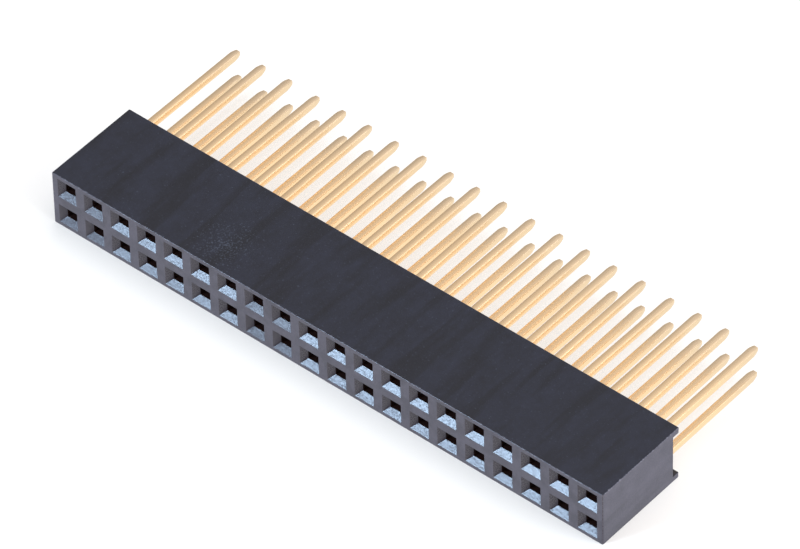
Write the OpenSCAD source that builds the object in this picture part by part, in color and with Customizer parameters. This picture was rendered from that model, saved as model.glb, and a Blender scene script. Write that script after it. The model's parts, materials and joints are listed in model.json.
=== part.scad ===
// Two-row female pin header strip with long solder tails.
// It lies on one long side, as it rests on a bench: the sockets face -Y and the tails point to +Y.
// The origin is the middle of the side it lies on, and the housing is centred on X and Y.

/* [Pin grid] */
// Distance between neighbouring contacts, along the strip and across it
pitch = 2.54; // [2.4:0.02:3]
// Number of contacts in each row
columns = 20; // [2:1:28]
// Number of rows
rows = 2; // [1:1:2]

/* [Housing] */
// Depth from the socket face to the ridges that meet the board
housing_d = 8.5; // [7.5:0.1:12]
// Plastic between the last socket mouth and the end of the strip
end_wall = 0.495; // [0.3:0.005:1.5]
// Plastic between a socket mouth and the long side of the strip
side_wall = 0.355; // [0.3:0.005:1.5]
// Height of the ridges that hold the housing off the board
ridge_h = 0.7; // [0.3:0.05:1.2]
// Thickness of those ridges
ridge_t = 0.5; // [0.3:0.05:0.6]

/* [Sockets] */
// Width of the square mouth of a socket
mouth_w = 1.75; // [1.3:0.05:2]
// Width of the square throat behind the funnel
throat_w = 0.95; // [0.7:0.05:1.2]
// Depth of the funnel
funnel_l = 0.45; // [0.2:0.05:0.8]
// Length of the throat
throat_l = 0.6; // [0.3:0.05:1]

/* [Contact chambers] */
// Width of the chamber that the two spring leaves work in
chamber_w = 1.5; // [1.3:0.05:1.7]
// Height of the chamber and of the pocket behind it
chamber_h = 1; // [0.9:0.05:1.2]
// Width of the pocket that holds the shoulders of the contact
pocket_w = 1.85; // [1.75:0.05:2.2]
// Depth of that pocket from the floor between the ridges
pocket_l = 1.4; // [1:0.1:1.8]

/* [Contact springs] */
// Thickness of the sheet that the springs are pressed from
sheet_t = 0.16; // [0.1:0.01:0.2]
// Gap between the leaves where they grip the pin
grip_gap = 0.4; // [0.2:0.02:0.6]
// Opening between the flared ends of the leaves
flare_w = 0.84; // [0.66:0.02:1]
// Length of the flare in front of the grip
flare_l = 0.9; // [0.5:0.1:1.4]
// Height of each leaf
leaf_h = 0.8; // [0.4:0.05:0.85]
// Length of the folded cradle in front of the shoulders
cradle_l = 1.2; // [0.5:0.1:1.6]
// Length of the shoulders
shoulder_l = 0.9; // [0.5:0.1:0.9]
// Height of the barbs on the shoulders
barb_h = 0.06; // [0.02:0.01:0.08]

/* [Fits of the contact in its chamber] */
// Gap beside the cradle, where the leaves spring outwards
side_gap = 0.1; // [0.05:0.01:0.15]
// Gap above and below the cradle
height_gap = 0.02; // [0.01:0.01:0.04]
// Gap between the ends of the leaves and the front wall of the chamber
leaf_gap = 0.35; // [0.1:0.05:0.8]

/* [Solder tails] */
// Width of the square tail
tail_w = 0.6; // [0.4:0.01:0.66]
// Length of the tail past the ridges
tail_l = 10.4; // [2.5:0.1:14]
// Width of the square tip
tip_w = 0.4; // [0.2:0.01:0.4]
// Length over which the tail narrows to its tip
tip_l = 0.7; // [0.5:0.1:2]
// Metal left around the root of the tail, in the block it grows from
root_rim = 0.06; // [0.04:0.01:0.08]
// Most that a tail tip leans away from its true place, as handled tails do
tail_lean = 0.06; // [0:0.01:0.2]

/* [Hidden] */
// Overshoot that keeps cuts and joined pieces from ending on the same face
lap = 0.1;
// Straight steps in the flare, the spring and the rounded taper of the tip
flare_steps = 5;
spring_steps = 8;
tip_steps = 5;
// Turn between one tail's lean and the next, in degrees
lean_turn = 137.5;

housing_l = (columns - 1) * pitch + mouth_w + 2 * end_wall;
housing_t = (rows - 1) * pitch + mouth_w + 2 * side_wall;
front_y = -housing_d / 2;
seat_y = housing_d / 2;
floor_y = seat_y - ridge_h;
chamber_y = front_y + funnel_l + throat_l;
step_y = floor_y - pocket_l;

cradle_w = chamber_w - 2 * side_gap;
contact_h = chamber_h - 2 * height_gap;
cradle_y = step_y - cradle_l;
root_y = step_y + shoulder_l;
leaf_y = chamber_y + leaf_gap;
grip_y = leaf_y + flare_l;
root_w = tail_w + 2 * root_rim;
tail_run = seat_y + tail_l - root_y;

ROW_NAMES = rows == 1 ? ["single"] : ["lower", "upper"];
function two_digits(n) = str(n < 10 ? "0" : "", n);
function contact_name(row, column) = str("contact_", ROW_NAMES[row], "_", two_digits(column));

function column_x(column) = (column - (columns + 1) / 2) * pitch;
function row_z(row) = housing_t / 2 + (row - (rows - 1) / 2) * pitch;

// Half the gap between the leaves at a place y along the contact
function leaf_x(y) =
    y < grip_y
    ? grip_gap / 2 + (flare_w - grip_gap) / 2 * pow((grip_y - y) / flare_l, 2)
    : grip_gap / 2 + (cradle_w / 2 - sheet_t - grip_gap / 2) * ease((y - grip_y) / (cradle_y - grip_y));
function ease(t) = t >= 1 ? 1 : t * t * (3 - 2 * t);

// Half the width of the tail at a distance from its tip
function tail_x(d) = tip_w / 2 + (tail_w - tip_w) / 2 * sin(90 * d / tip_l);

// Sideways and upward lean of one tail, in degrees
function lean(row, column, turn) = atan(tail_lean * sin(turn * (column + columns * row)) / tail_run);

// Extrudes an outline drawn in Y and Z along X, centred
module across(length) {
    rotate([90, 0, 90])
        translate([0, 0, -length / 2])
            linear_extrude(length) children();
}

// A box centred on X and Z that runs from y1 to y2
module bar(width, height, y1, y2) {
    translate([-width / 2, y1, -height / 2]) cube([width, y2 - y1, height]);
}

// Side view of the housing: a block with a channel between two ridges at the back
module housing_section() {
    difference() {
        translate([front_y, 0]) square([housing_d, housing_t]);
        translate([floor_y, ridge_t]) square([ridge_h + lap, housing_t - 2 * ridge_t]);
    }
}

// Outline of the square funnel, seen from above or from the side
module funnel_outline() {
    polygon([
        [-mouth_w / 2, -lap],
        [mouth_w / 2, -lap],
        [mouth_w / 2, 0],
        [throat_w / 2, funnel_l],
        [-throat_w / 2, funnel_l],
        [-mouth_w / 2, 0],
    ]);
}

module funnel() {
    translate([0, front_y, 0])
        intersection() {
            translate([0, 0, -mouth_w / 2]) linear_extrude(mouth_w) funnel_outline();
            rotate([0, 90, 0]) translate([0, 0, -mouth_w / 2]) linear_extrude(mouth_w) funnel_outline();
        }
}

// The space that one contact is pushed into from the back
module cavity() {
    funnel();
    bar(throat_w, throat_w, front_y + funnel_l - lap, chamber_y + lap);
    bar(chamber_w, chamber_h, chamber_y, step_y + lap);
    bar(pocket_w, chamber_h, step_y, floor_y + lap);
}

module housing() {
    color("#3c3c44")
        difference() {
            across(housing_l) housing_section();
            for (row = [0:rows - 1], column = [1:columns])
                translate([column_x(column), 0, row_z(row)]) cavity();
        }
}

// One spring leaf, on the +X side
module leaf() {
    flare_ys = [for (i = [0:flare_steps - 1]) leaf_y + flare_l * i / flare_steps];
    spring_ys = [for (i = [0:spring_steps]) grip_y + (cradle_y - grip_y) * i / spring_steps];
    ys = concat(flare_ys, spring_ys, [cradle_y + lap]);
    inner = [for (y = ys) [leaf_x(y), y]];
    outer = [for (i = [len(ys) - 1:-1:0]) [leaf_x(ys[i]) + sheet_t, ys[i]]];
    translate([0, 0, -leaf_h / 2]) linear_extrude(leaf_h) polygon(concat(inner, outer));
}

// The folded channel that both leaves grow from, open at the top
module cradle() {
    difference() {
        bar(cradle_w, contact_h, cradle_y, root_y);
        translate([0, 0, sheet_t]) bar(cradle_w - 2 * sheet_t, contact_h, cradle_y - lap, root_y + lap);
    }
}

// Flat shoulders with two barbs a side, pressed in between the pocket's walls
module shoulders() {
    tip = pocket_w / 2;
    root = tip - barb_h;
    side = [
        [root, step_y],
        [tip, step_y + shoulder_l / 2],
        [root, step_y + shoulder_l / 2],
        [tip, root_y],
    ];
    other = [for (i = [3:-1:0]) [-side[i][0], side[i][1]]];
    translate([0, 0, -contact_h / 2]) linear_extrude(sheet_t) polygon(concat(side, other));
}

// The block inside the cradle that the tail grows from
module tail_root() {
    top = tail_w / 2 + root_rim;
    translate([-root_w / 2, step_y, -contact_h / 2]) cube([root_w, shoulder_l, contact_h / 2 + top]);
}

// Outline of the tail, seen from above or from the side
module tail_outline() {
    ds = [for (i = [tip_steps:-1:0]) tip_l * i / tip_steps];
    right = [for (d = ds) [tail_x(d), tail_run - d]];
    left = [for (i = [tip_steps:-1:0]) [-right[i][0], right[i][1]]];
    polygon(concat([[tail_w / 2, -lap]], right, left, [[-tail_w / 2, -lap]]));
}

module tail() {
    intersection() {
        translate([0, 0, -tail_w / 2]) linear_extrude(tail_w) tail_outline();
        rotate([0, 90, 0]) translate([0, 0, -tail_w / 2]) linear_extrude(tail_w) tail_outline();
    }
}

// One pressed and plated contact; the upper row lies the other way up
module contact(row, column) {
    color("#dcb98e")
        translate([column_x(column), 0, row_z(row)])
            rotate([0, row == 0 ? 0 : 180, 0]) {
                leaf();
                mirror([1, 0, 0]) leaf();
                cradle();
                shoulders();
                tail_root();
                translate([0, root_y, 0])
                    rotate([lean(row, column, lean_turn), 0, lean(row, column, 2 * lean_turn)])
                        tail();
            }
}

housing();
for (row = [0:rows - 1], column = [1:columns])
    contact(row, column);
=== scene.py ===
"""Looks of a two-row female pin header strip, lying on one long side on a white table."""
import json
import math

import bpy
from mathutils import Matrix, Vector

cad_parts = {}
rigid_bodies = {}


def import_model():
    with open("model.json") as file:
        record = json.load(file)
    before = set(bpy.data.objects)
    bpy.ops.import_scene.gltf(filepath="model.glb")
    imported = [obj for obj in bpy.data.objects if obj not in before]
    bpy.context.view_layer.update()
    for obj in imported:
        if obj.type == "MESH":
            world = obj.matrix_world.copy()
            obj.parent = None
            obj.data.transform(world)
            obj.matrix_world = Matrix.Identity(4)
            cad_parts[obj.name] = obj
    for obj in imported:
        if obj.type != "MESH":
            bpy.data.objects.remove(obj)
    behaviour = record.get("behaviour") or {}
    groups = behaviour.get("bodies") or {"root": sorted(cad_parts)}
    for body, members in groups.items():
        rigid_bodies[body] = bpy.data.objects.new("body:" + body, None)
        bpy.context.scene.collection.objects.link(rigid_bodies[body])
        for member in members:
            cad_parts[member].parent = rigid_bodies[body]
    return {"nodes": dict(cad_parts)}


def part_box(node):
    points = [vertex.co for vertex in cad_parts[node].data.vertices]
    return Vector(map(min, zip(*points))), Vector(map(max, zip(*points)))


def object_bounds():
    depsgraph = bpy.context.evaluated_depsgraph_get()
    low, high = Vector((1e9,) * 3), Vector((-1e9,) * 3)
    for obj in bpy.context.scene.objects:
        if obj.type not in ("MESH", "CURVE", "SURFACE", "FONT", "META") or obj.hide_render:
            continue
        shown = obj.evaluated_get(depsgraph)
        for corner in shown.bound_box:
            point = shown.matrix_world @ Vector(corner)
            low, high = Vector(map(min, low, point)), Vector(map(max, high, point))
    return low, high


for leftover in list(bpy.data.objects):
    bpy.data.objects.remove(leftover)
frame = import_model()
CAD_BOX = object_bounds()

# Camera
# A long lens looks down on the front right corner, as in the photograph.
MM = 0.001
VIEW_AZIMUTH = math.radians(41.04)
VIEW_ELEVATION = math.radians(45.02)
VIEW_ROLL = math.radians(-1.51)
VIEW_DISTANCE = 585.7 * MM
VIEW_TARGET = Vector((-0.94, 5.41, 2.5)) * MM
SENSOR_WIDTH = 36.0
LENS = 368.9
CLIP_NEAR = 10 * MM
CLIP_FAR = 5000 * MM


def direction(azimuth, elevation):
    """Unit vector from the object towards a camera or lamp at that azimuth and elevation."""
    level = math.cos(elevation)
    return Vector((level * math.sin(azimuth), -level * math.cos(azimuth), math.sin(elevation)))


def aim(thing, target, towards, distance, roll=0.0):
    """Places a camera or lamp at a distance from its target and turns it to face it."""
    turn = towards.to_track_quat("Z", "Y").to_matrix() @ Matrix.Rotation(roll, 3, "Z")
    thing.matrix_world = Matrix.Translation(target + distance * towards) @ turn.to_4x4()


camera_data = bpy.data.cameras.new("camera")
camera_data.sensor_width = SENSOR_WIDTH
camera_data.lens = LENS
camera_data.clip_start = CLIP_NEAR
camera_data.clip_end = CLIP_FAR
camera = bpy.data.objects.new("camera", camera_data)
bpy.context.scene.collection.objects.link(camera)
bpy.context.scene.camera = camera
aim(camera, VIEW_TARGET, direction(VIEW_AZIMUTH, VIEW_ELEVATION), VIEW_DISTANCE, VIEW_ROLL)

# Table
# A sheet of matt white card, overexposed to plain white as in the photograph. Its painted glow is
# weaker in front of the housing than under the tails, so its soft shadow round the strip shows
# deeper in front and paler among the tails. Further off it is all glow, so that no horizon shows.


def colour(code):
    """Linear RGBA of a colour written as an sRGB hex value."""
    parts = [int(code[i:i + 2], 16) / 255 for i in (1, 3, 5)]
    return [p / 12.92 if p <= 0.04045 else ((p + 0.055) / 1.055) ** 2.4 for p in parts] + [1.0]


def add(tree, kind, inputs=None, **settings):
    """Adds a node. Inputs are values, or (node, output) pairs that are linked."""
    node = tree.nodes.new(kind)
    for name, value in settings.items():
        setattr(node, name, value)
    for name, value in (inputs or {}).items():
        if isinstance(value, tuple) and isinstance(value[0], bpy.types.Node):
            tree.links.new(value[0].outputs[value[1]], node.inputs[name])
        else:
            node.inputs[name].default_value = value
    return node


def new_material(name):
    """An empty node material and its tree."""
    material = bpy.data.materials.new(name)
    material.use_nodes = True
    material.node_tree.nodes.clear()
    return material, material.node_tree


PLAIN_WHITE = colour("#ffffff")
CARD_WHITE = colour("#fbf4e8")
CARD_SIZE = 3000 * MM
CARD_GLOW = 1.08
CARD_SHARE_FRONT = 0.15
CARD_SHARE_TAILS = 0.55
CARD_FRONT_Y = -3 * MM
CARD_TAILS_Y = 6 * MM
CARD_FADE_NEAR = 60 * MM
CARD_FADE_FAR = 200 * MM

card_mesh = bpy.data.meshes.new("table_card")
reach = CARD_SIZE / 2
card_mesh.from_pydata([(-reach, -reach, 0), (reach, -reach, 0), (reach, reach, 0), (-reach, reach, 0)], [],
                      [(0, 1, 2, 3)])
card = bpy.data.objects.new("table_card", card_mesh)
bpy.context.scene.collection.objects.link(card)

# Card scatters light evenly and has no shine. The share says how much of it is glow: part of it
# for the camera, and all of it in what the metal mirrors.
card_material, tree = new_material("matt_white_card")
rays = add(tree, "ShaderNodeLightPath")
place = add(tree, "ShaderNodeTexCoord")
away = add(tree, "ShaderNodeVectorMath", {0: (place, "Object")}, operation="LENGTH")
axes = add(tree, "ShaderNodeSeparateXYZ", {"Vector": (place, "Object")})
# Painted glow by place: weaker in front of the housing, stronger under the tails.
painted_glow_by_place = add(tree, "ShaderNodeMapRange", {"Value": (axes, "Y"), "From Min": CARD_FRONT_Y,
                                              "From Max": CARD_TAILS_Y, "To Min": CARD_SHARE_FRONT,
                                              "To Max": CARD_SHARE_TAILS})
plain = add(tree, "ShaderNodeMapRange", {"Value": (away, "Value"), "From Min": CARD_FADE_NEAR,
                                         "From Max": CARD_FADE_FAR, "To Min": (painted_glow_by_place, 0)})
seen = add(tree, "ShaderNodeMath", {0: (rays, "Is Camera Ray"), 1: (plain, 0)}, operation="MULTIPLY")
mirrored = add(tree, "ShaderNodeMath", {0: (rays, "Is Glossy Ray"), 1: (rays, "Is Transmission Ray")},
               operation="MAXIMUM")
share = add(tree, "ShaderNodeMath", {0: (seen, 0), 1: (mirrored, 0)}, operation="MAXIMUM")
matt = add(tree, "ShaderNodeBsdfDiffuse", {"Color": CARD_WHITE})
glow = add(tree, "ShaderNodeEmission", {"Color": PLAIN_WHITE, "Strength": CARD_GLOW})
mix = add(tree, "ShaderNodeMixShader", {0: (share, 0), 1: (matt, 0), 2: (glow, 0)})
add(tree, "ShaderNodeOutputMaterial", {"Surface": (mix, 0)})
card_mesh.materials.append(card_material)

# Studio light
# A pale cloth tent that is brighter on the right. A small cool softbox at the front left makes the
# lower slope of every socket shine, and two wide, weaker ones fill in from the right and above.
TENT = colour("#d6d4d9")
TENT_LEFT = 0.66
TENT_RIGHT = 1.36
TENT_LEFT_X = -0.62
TENT_RIGHT_X = -0.3
SOFTBOX_DISTANCE = 600 * MM

world = bpy.data.worlds.new("light_tent")
bpy.context.scene.world = world
world.use_nodes = True
tree = world.node_tree
tree.nodes.clear()
rays = add(tree, "ShaderNodeLightPath")
place = add(tree, "ShaderNodeTexCoord")
axes = add(tree, "ShaderNodeSeparateXYZ", {"Vector": (place, "Generated")})
falloff = add(tree, "ShaderNodeMapRange", {"Value": (axes, "X"), "From Min": TENT_LEFT_X,
                                           "From Max": TENT_RIGHT_X, "To Min": TENT_LEFT,
                                           "To Max": TENT_RIGHT})
tent = add(tree, "ShaderNodeBackground", {"Color": TENT, "Strength": (falloff, 0)})
backdrop = add(tree, "ShaderNodeBackground", {"Color": PLAIN_WHITE, "Strength": 1.0})
mix = add(tree, "ShaderNodeMixShader", {0: (rays, "Is Camera Ray"), 1: (tent, 0), 2: (backdrop, 0)})
add(tree, "ShaderNodeOutputWorld", {"Surface": (mix, 0)})


def softbox(name, azimuth, elevation, width, radiance, tint):
    """A square softbox of a given brightness that faces the middle of the strip."""
    data = bpy.data.lights.new(name, "AREA")
    data.shape = "SQUARE"
    data.size = width
    data.energy = radiance * math.pi * width ** 2
    data.color = colour(tint)[:3]
    lamp = bpy.data.objects.new(name, data)
    bpy.context.scene.collection.objects.link(lamp)
    towards = direction(math.radians(azimuth), math.radians(elevation))
    aim(lamp, VIEW_TARGET, towards, SOFTBOX_DISTANCE)


softbox("front_softbox", azimuth=-30, elevation=37, width=170 * MM, radiance=25.5, tint="#c2e0ff")
softbox("right_softbox", azimuth=98, elevation=30, width=350 * MM, radiance=6.6, tint="#dcebff")
softbox("top_softbox", azimuth=160, elevation=75, width=350 * MM, radiance=0.8, tint="#ffffff")

# Housing
# One bar of black glass-filled polyester, moulded in one shot. The polished walls of the mould
# leave its two long sides deep black. The other faces rub along steel as the bar is pushed out,
# which leaves them rougher, and are painted a paler dull grey: a painted sheen for the light
# they catch at a slant. Smooth core pins make the funnels, which shine.
CORNER_RADIUS = 0.2 * MM
RIM_RADIUS = 0.05 * MM
RIDGE_RADIUS = 0.12 * MM
EDGE_STEPS = 4
FLAT_ANGLE = math.radians(0.2)
CREASE_ANGLE = math.radians(35)
WELD_DISTANCE = 0.001 * MM
PARALLEL = 0.9


def face_borders(mesh):
    """The edges of a CAD mesh that one facet uses. Its faces are split, so these are their borders."""
    uses = {}
    for face in mesh.polygons:
        for key in face.edge_keys:
            uses[key] = uses.get(key, 0) + 1
    return [edge for edge in mesh.edges if uses[edge.key] == 1]


def round_edges(piece, radius_of, widest):
    """Joins the faces of a CAD mesh and rounds its edges, leaving its own vertices alone.

    radius_of gives the radius of an edge from its two ends, and 0 keeps it sharp.
    """
    mesh = piece.data
    mesh.attributes.remove(mesh.attributes["custom_normal"])
    for face in mesh.polygons:
        face.use_smooth = True
    weights = mesh.attributes.new("bevel_weight_edge", "FLOAT", "EDGE")
    for edge in face_borders(mesh):
        radius = radius_of(*(mesh.vertices[i].co for i in edge.vertices))
        weights.data[edge.index].value = radius / widest
    weld = piece.modifiers.new("weld", "WELD")
    weld.merge_threshold = WELD_DISTANCE
    join = piece.modifiers.new("join_flats", "DECIMATE")
    join.decimate_type = "DISSOLVE"
    join.angle_limit = FLAT_ANGLE
    bevel = piece.modifiers.new("round_edges", "BEVEL")
    bevel.width = widest
    bevel.segments = EDGE_STEPS
    bevel.limit_method = "WEIGHT"
    bevel.use_clamp_overlap = False
    creases = piece.modifiers.new("creases", "EDGE_SPLIT")
    creases.split_angle = CREASE_ANGLE


housing = frame["nodes"]["housing"]
low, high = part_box("housing")


def housing_radius(a, b):
    """Radius of a housing edge: wide at the upright corners and the ridges, fine round the rim."""
    near = WELD_DISTANCE
    at_end = all(abs(abs(p.x) - high.x) < near for p in (a, b))
    at_side = all(min(p.z - low.z, high.z - p.z) < near for p in (a, b))
    at_front = all(p.y - low.y < near for p in (a, b))
    at_back = all(high.y - p.y < near for p in (a, b))
    upright = abs(b.z - a.z) > PARALLEL * (b - a).length
    if at_end and at_front and upright:
        return CORNER_RADIUS
    if at_back:
        return RIDGE_RADIUS
    return RIM_RADIUS if at_front + at_end + at_side > 1 else 0.0


round_edges(housing, housing_radius, CORNER_RADIUS)
housing.modifiers.new("flat_faces", "WEIGHTED_NORMAL")

# The plastic is not quite black: a dim, cloudy blue-black sheen on the long sides, a dull grey
# painted sheen at the ends and round the sockets, and pale, grainy slopes in the funnels.
PLASTIC_IOR = 1.5

plastic, tree = new_material("moulded_black_polyester")
place = add(tree, "ShaderNodeTexCoord")
axes = add(tree, "ShaderNodeSeparateXYZ", {"Vector": (place, "Object")})
facing = add(tree, "ShaderNodeSeparateXYZ", {"Vector": (place, "Normal")})

# How far a point lies inside each pair of opposite faces of the bar. The middle one of the three
# distances is how far it lies from the nearest edge.
inset = []
for axis, one, other in zip("XYZ", low, high):
    middle = (one + other) / 2
    half = (other - one) / 2
    from_middle = add(tree, "ShaderNodeMath", {0: (axes, axis), 1: middle}, operation="SUBTRACT")
    outwards = add(tree, "ShaderNodeMath", {0: (from_middle, 0)}, operation="ABSOLUTE")
    inset.append(add(tree, "ShaderNodeMath", {0: half, 1: (outwards, 0)}, operation="SUBTRACT"))
lesser = add(tree, "ShaderNodeMath", {0: (inset[0], 0), 1: (inset[1], 0)}, operation="MINIMUM")
greater = add(tree, "ShaderNodeMath", {0: (inset[0], 0), 1: (inset[1], 0)}, operation="MAXIMUM")
capped = add(tree, "ShaderNodeMath", {0: (greater, 0), 1: (inset[2], 0)}, operation="MINIMUM")
edge_gap = add(tree, "ShaderNodeMath", {0: (lesser, 0), 1: (capped, 0)}, operation="MAXIMUM")


def per_mm(tree, sizes, offset=0.0):
    """Object coordinates in units of a pattern's real size in mm along X, Y and Z, then shifted."""
    place = add(tree, "ShaderNodeTexCoord")
    scale = [1 / (size * MM) for size in sizes]
    return add(tree, "ShaderNodeMapping", {"Vector": (place, "Object"), "Scale": scale,
                                           "Location": (offset, offset, offset)})


# The melt flowed across the bar from gates along one side, which leaves soft dark bands about a
# millimetre wide, broken up by clouds of the same size.
BLACK_DEEP = colour("#0b0b13")
BLACK_PALE = colour("#1a1c28")
# The dull greys below are a painted sheen for the faces other than the long sides, paler than the
# plastic's own black.
SHEEN_PAINTED_GREY = colour("#3f3d47")
SHEEN_PAINTED_PALE = colour("#4f4c57")
CLOUD_SIZES = (1.1, 1.6, 1.1)
BAND_SIZES = (1.1, 9.0, 1.1)
BAND_SHIFT = 5.0
BAND_DARK = 0.36
BAND_CLEAR = 0.52
BAND_DIMMING = 0.5
SHADE_DEEP = 0.2
SHADE_PALE = 0.65
SIDE_NORMAL_FROM = 0.8
SIDE_NORMAL_TO = 0.98

mottle = add(tree, "ShaderNodeTexNoise", {"Vector": (per_mm(tree, CLOUD_SIZES), 0), "Scale": 1.0,
                                          "Detail": 6.0, "Roughness": 0.75})
flow = add(tree, "ShaderNodeTexNoise", {"Vector": (per_mm(tree, BAND_SIZES, BAND_SHIFT), 0), "Scale": 1.0,
                                        "Detail": 2.0, "Roughness": 0.45, "Distortion": 0.35})
streak = add(tree, "ShaderNodeMapRange", {"Value": (flow, 0), "From Min": BAND_DARK,
                                          "From Max": BAND_CLEAR, "To Min": BAND_DIMMING})
blotch = add(tree, "ShaderNodeMath", {0: (mottle, 0), 1: (streak, 0)}, operation="MULTIPLY")
shades = add(tree, "ShaderNodeMapRange", {"Value": (blotch, 0), "From Min": SHADE_DEEP,
                                          "From Max": SHADE_PALE})
polished = add(tree, "ShaderNodeMix", {"Factor": (shades, 0), "A": BLACK_DEEP, "B": BLACK_PALE},
               data_type="RGBA")
# Painted sheen: every face but the long sides gets this paler grey.
painted_sheen = add(tree, "ShaderNodeMix", {"Factor": (shades, 0), "A": SHEEN_PAINTED_GREY, "B": SHEEN_PAINTED_PALE},
           data_type="RGBA")
upness = add(tree, "ShaderNodeMath", {0: (facing, "Z")}, operation="ABSOLUTE")
long_side = add(tree, "ShaderNodeMapRange", {"Value": (upness, 0), "From Min": SIDE_NORMAL_FROM,
                                             "From Max": SIDE_NORMAL_TO})
skin_and_painted_sheen = add(tree, "ShaderNodeMix", {"Factor": (long_side, 0), "A": (painted_sheen, "Result"),
                                   "B": (polished, "Result")}, data_type="RGBA")

# Edges rubbed pale where bars slide over each other in the bag.
RUBBED_EDGE = colour("#86848b")
WEAR_SIZES = (0.35, 0.2, 0.2)
WEAR_SHIFT = 2.0
WEAR_NONE = 0.4
WEAR_FULL = 0.7
WEAR_REACH = 0.14 * MM
WEAR_FADE = 0.08 * MM
WEAR_STRENGTH = 0.6

wear = add(tree, "ShaderNodeTexNoise", {"Vector": (per_mm(tree, WEAR_SIZES, WEAR_SHIFT), 0), "Scale": 1.0,
                                        "Detail": 4.0, "Roughness": 0.7})
wear_reach = add(tree, "ShaderNodeMapRange", {"Value": (wear, 0), "From Min": WEAR_NONE,
                                              "From Max": WEAR_FULL, "To Min": 0.0, "To Max": WEAR_REACH})
rub = add(tree, "ShaderNodeMath", {0: (wear_reach, 0), 1: (edge_gap, 0)}, operation="SUBTRACT")
rubbed = add(tree, "ShaderNodeMapRange", {"Value": (rub, 0), "From Min": 0.0, "From Max": WEAR_FADE,
                                          "To Max": WEAR_STRENGTH})
worn = add(tree, "ShaderNodeMix", {"Factor": (rubbed, 0), "A": (skin_and_painted_sheen, "Result"), "B": RUBBED_EDGE},
           data_type="RGBA")

# Ends of glass fibres that show as pale specks, thicker in one scuffed patch. Real fibres are
# about 0.01 mm thick, and the specks are drawn at 0.14 mm to show at all.
FIBRE_SPECK = colour("#69717f")
SPECK_SIZES = (0.14, 0.14, 0.14)
SPECK_SHIFT = 3.0
SPECK_NONE = 0.64
SPECK_FULL = 0.84
SPECK_STRENGTH = 0.28
SCUFF_PLACE = Vector((-10.9, -1.9, 5.0)) * MM
SCUFF_REACH = 3.2 * MM
SCUFF_LIFT = 0.17

speck = add(tree, "ShaderNodeTexNoise", {"Vector": (per_mm(tree, SPECK_SIZES, SPECK_SHIFT), 0),
                                         "Scale": 1.0, "Detail": 2.0, "Roughness": 0.6})
scuff_gap = add(tree, "ShaderNodeVectorMath", {0: (place, "Object"), 1: SCUFF_PLACE}, operation="DISTANCE")
scuff = add(tree, "ShaderNodeMapRange", {"Value": (scuff_gap, "Value"), "From Min": 0.0,
                                         "From Max": SCUFF_REACH, "To Min": SCUFF_LIFT, "To Max": 0.0})
speck_level = add(tree, "ShaderNodeMath", {0: (speck, 0), 1: (scuff, 0)}, operation="ADD")
specks = add(tree, "ShaderNodeMapRange", {"Value": (speck_level, 0), "From Min": SPECK_NONE,
                                          "From Max": SPECK_FULL, "To Max": SPECK_STRENGTH})
flecked = add(tree, "ShaderNodeMix", {"Factor": (specks, 0), "A": (worn, "Result"), "B": FIBRE_SPECK},
              data_type="RGBA")

# Inside the sockets, behind the funnels, the plastic is painted in shade, warmed by painted light
# thrown back by the gold. This part is told by how deep it lies inside the bar.
PAINTED_CAVITY_SHADE = colour("#24130f")
FUNNEL_DEPTH = 0.45 * MM
FUNNEL_END_BLUR = 0.02 * MM
BURIED_FROM = 0.2 * MM
BURIED_TO = 0.3 * MM

behind = add(tree, "ShaderNodeMath", {0: (axes, "Y"), 1: low.y + FUNNEL_DEPTH}, operation="SUBTRACT")
behind_face = add(tree, "ShaderNodeMapRange", {"Value": (behind, 0), "From Min": -FUNNEL_END_BLUR,
                                               "From Max": FUNNEL_END_BLUR})
least = add(tree, "ShaderNodeMath", {0: (lesser, 0), 1: (inset[2], 0)}, operation="MINIMUM")
buried = add(tree, "ShaderNodeMapRange", {"Value": (least, 0), "From Min": BURIED_FROM,
                                          "From Max": BURIED_TO})
painted_cavity_mask = add(tree, "ShaderNodeMath", {0: (behind_face, 0), 1: (buried, 0)}, operation="MULTIPLY")
# Painted shade and painted warm gold glow deep in the sockets.
base = add(tree, "ShaderNodeMix", {"Factor": (painted_cavity_mask, 0), "A": (flecked, "Result"), "B": PAINTED_CAVITY_SHADE},
           data_type="RGBA")

# The funnels slope at about 42 degrees, which their normals tell from every other face.
FUNNEL_GREY = colour("#403c44")
SLOPE_NORMAL_FROM = 0.4
SLOPE_NORMAL_TO = 0.55
FRONT_NORMAL_FROM = 0.75
FRONT_NORMAL_TO = 0.9

forwardness = add(tree, "ShaderNodeMath", {0: (facing, "Y")}, operation="ABSOLUTE")
sloping = add(tree, "ShaderNodeMapRange", {"Value": (forwardness, 0), "From Min": SLOPE_NORMAL_FROM,
                                           "From Max": SLOPE_NORMAL_TO})
facing_front = add(tree, "ShaderNodeMapRange", {"Value": (forwardness, 0), "From Min": FRONT_NORMAL_FROM,
                                                "From Max": FRONT_NORMAL_TO})
funnel = add(tree, "ShaderNodeMath", {0: (sloping, 0), 1: (facing_front, 0)}, operation="SUBTRACT")
moulded = add(tree, "ShaderNodeMix", {"Factor": (funnel, 0), "A": (base, "Result"), "B": FUNNEL_GREY},
              data_type="RGBA")

# The long sides are a little glossier than the dull faces, and both vary with the fibre specks.
POLISHED_ROUGHNESS = 0.38
DULL_ROUGHNESS = 0.46
UNEVEN_FROM = 0.3
UNEVEN_TO = 0.7
UNEVEN_SMOOTHER = -0.05
UNEVEN_ROUGHER = 0.1

rough_flat = add(tree, "ShaderNodeMapRange", {"Value": (long_side, 0), "To Min": DULL_ROUGHNESS,
                                              "To Max": POLISHED_ROUGHNESS})
rough_noise = add(tree, "ShaderNodeMapRange", {"Value": (speck, 0), "From Min": UNEVEN_FROM,
                                               "From Max": UNEVEN_TO, "To Min": UNEVEN_SMOOTHER,
                                               "To Max": UNEVEN_ROUGHER})
rough_side = add(tree, "ShaderNodeMath", {0: (rough_flat, 0), 1: (rough_noise, 0)}, operation="ADD")

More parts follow.
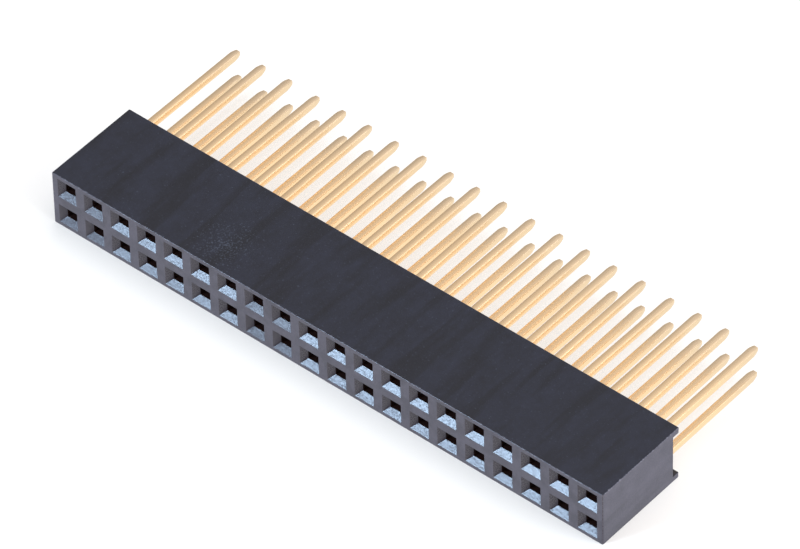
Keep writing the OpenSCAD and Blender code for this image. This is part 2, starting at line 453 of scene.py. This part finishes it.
# The core pins are polished by hand, so the funnels differ: two pairs of worn pins leave their
# columns duller, and the lower row is a little duller too. The pits in a pin are about 0.02 mm
# across and its scratches finer still, and their frosting is drawn at 0.1 mm to show at all.
WORN_PINS_X = (-22.86 * MM, -5.08 * MM)
WORN_PINS_NEAR = 2.2 * MM
WORN_PINS_FAR = 2.8 * MM
WORN_PINS_DULLING = 0.12
LOW_ROW_TOP = 2.4 * MM
HIGH_ROW_FOOT = 2.6 * MM
LOW_ROW_DULLING = 0.05
FROST_SIZES = (0.1, 0.1, 0.1)
FROST_SHIFT = 7.0
FROST_NONE = 0.42
FROST_FULL = 0.62
FUNNEL_SMOOTHEST = 0.15
FUNNEL_ROUGHEST = 0.35

duller = []
for worn_x in WORN_PINS_X:
    along = add(tree, "ShaderNodeMath", {0: (axes, "X"), 1: worn_x}, operation="SUBTRACT")
    apart = add(tree, "ShaderNodeMath", {0: (along, 0)}, operation="ABSOLUTE")
    duller.append(add(tree, "ShaderNodeMapRange", {"Value": (apart, 0), "From Min": WORN_PINS_NEAR,
                                                   "From Max": WORN_PINS_FAR,
                                                   "To Min": WORN_PINS_DULLING, "To Max": 0.0}))
low_row = add(tree, "ShaderNodeMapRange", {"Value": (axes, "Z"), "From Min": LOW_ROW_TOP,
                                           "From Max": HIGH_ROW_FOOT, "To Min": LOW_ROW_DULLING,
                                           "To Max": 0.0})
worn_columns = add(tree, "ShaderNodeMath", {0: (duller[0], 0), 1: (duller[1], 0)}, operation="ADD")
pin_dull = add(tree, "ShaderNodeMath", {0: (worn_columns, 0), 1: (low_row, 0)}, operation="ADD")
frost = add(tree, "ShaderNodeTexNoise", {"Vector": (per_mm(tree, FROST_SIZES, FROST_SHIFT), 0),
                                         "Scale": 1.0, "Detail": 2.0, "Roughness": 0.65})
frosted = add(tree, "ShaderNodeMapRange", {"Value": (frost, 0), "From Min": FROST_NONE,
                                           "From Max": FROST_FULL, "To Min": FUNNEL_SMOOTHEST,
                                           "To Max": FUNNEL_ROUGHEST})
funnel_rough = add(tree, "ShaderNodeMath", {0: (frosted, 0), 1: (pin_dull, 0)}, operation="ADD")
rough = add(tree, "ShaderNodeMix", {"Factor": (funnel, 0), "A": (rough_side, 0), "B": (funnel_rough, 0)})

# The grain of the ground steel, which is about 0.03 mm and is drawn at 0.11 mm to show.
GRAIN_SIZES = (0.11, 0.11, 0.11)
GRAIN_HEIGHT = 0.012 * MM
GRAIN_ON_FLATS = 0.35
GRAIN_IN_FUNNELS = 0.04

grain = add(tree, "ShaderNodeTexNoise", {"Vector": (per_mm(tree, GRAIN_SIZES), 0), "Scale": 1.0,
                                         "Detail": 2.0, "Roughness": 0.7})
grain_strength = add(tree, "ShaderNodeMapRange", {"Value": (funnel, 0), "To Min": GRAIN_ON_FLATS,
                                                  "To Max": GRAIN_IN_FUNNELS})
bump = add(tree, "ShaderNodeBump", {"Height": (grain, 0), "Strength": (grain_strength, 0),
                                    "Distance": GRAIN_HEIGHT})
shader = add(tree, "ShaderNodeBsdfPrincipled", {"Base Color": (moulded, "Result"),
                                                "Roughness": (rough, "Result"),
                                                "IOR": PLASTIC_IOR, "Normal": (bump, 0)})
add(tree, "ShaderNodeOutputMaterial", {"Surface": (shader, 0)})
housing.data.materials[0] = plastic

# Contacts
# Forty strips pressed from a copper alloy, flashed with thin pale gold over nickel, and pushed into
# the housing from behind, where their barbs hold them. Their tails are square with well rounded
# edges, and their colour turns greyer towards the tips.
TAIL_EDGE_RADIUS = 0.1 * MM
TIP_EDGE_RADIUS = 0.04 * MM
TAIL_START_Y = high.y - 1.3 * MM
TIP_END_Y = CAD_BOX[1].y
TIP_SLACK = 0.05 * MM

# A gold flash over bright nickel is a soft pale mirror: it takes its shades from the card and the
# tent, and is warmer where one tail mirrors the next. The lines that the drawing die leaves along
# a tail are about 0.01 mm apart, and are drawn at 0.13 mm to show.
GOLD_WARM = colour("#fcd9a8")
GOLD_PALE = colour("#fddeb0")
GOLD_TIP = colour("#ecd3ae")
GOLD_SMOOTHEST = 0.24
GOLD_ROUGHEST = 0.33
DIE_LINE_SIZES = (0.13, 8.0, 0.13)
DIE_LINE_FROM = 0.3
DIE_LINE_TO = 0.7
TONE_SIZES = (1.5, 3.0, 1.5)
TIP_FADE = 5.0 * MM

gold, tree = new_material("pale_gold_flash")
place = add(tree, "ShaderNodeTexCoord")
axes = add(tree, "ShaderNodeSeparateXYZ", {"Vector": (place, "Object")})
lines = add(tree, "ShaderNodeTexNoise", {"Vector": (per_mm(tree, DIE_LINE_SIZES), 0), "Scale": 1.0,
                                         "Detail": 2.0, "Roughness": 0.6})
cloud = add(tree, "ShaderNodeTexNoise", {"Vector": (per_mm(tree, TONE_SIZES), 0), "Scale": 1.0,
                                         "Detail": 2.0, "Roughness": 0.5})
tone = add(tree, "ShaderNodeMix", {"Factor": (cloud, 0), "A": GOLD_WARM, "B": GOLD_PALE},
           data_type="RGBA")
towards_tips = add(tree, "ShaderNodeMapRange", {"Value": (axes, "Y"), "From Min": TIP_END_Y - TIP_FADE,
                                            "From Max": TIP_END_Y})
base = add(tree, "ShaderNodeMix", {"Factor": (towards_tips, 0), "A": (tone, "Result"), "B": GOLD_TIP},
           data_type="RGBA")
rough = add(tree, "ShaderNodeMapRange", {"Value": (lines, 0), "From Min": DIE_LINE_FROM,
                                         "From Max": DIE_LINE_TO, "To Min": GOLD_SMOOTHEST,
                                         "To Max": GOLD_ROUGHEST})
shader = add(tree, "ShaderNodeBsdfPrincipled", {"Base Color": (base, "Result"), "Metallic": 1.0,
                                                "Roughness": (rough, 0)})
add(tree, "ShaderNodeOutputMaterial", {"Surface": (shader, 0)})


def contact_radius(a, b):
    """Radius of a contact edge: a tail is rounded along its length and round its tip."""
    nearest = min(a.y, b.y)
    if nearest > TIP_END_Y - TIP_SLACK:
        return TIP_EDGE_RADIUS
    lengthwise = abs(b.y - a.y) > PARALLEL * (b - a).length
    return TAIL_EDGE_RADIUS if nearest > TAIL_START_Y and lengthwise else 0.0


for name, contact in frame["nodes"].items():
    if name.startswith("contact"):
        round_edges(contact, contact_radius, TAIL_EDGE_RADIUS)
        contact.data.materials[0] = gold

# Output
bpy.context.scene.view_settings.view_transform = "Standard"
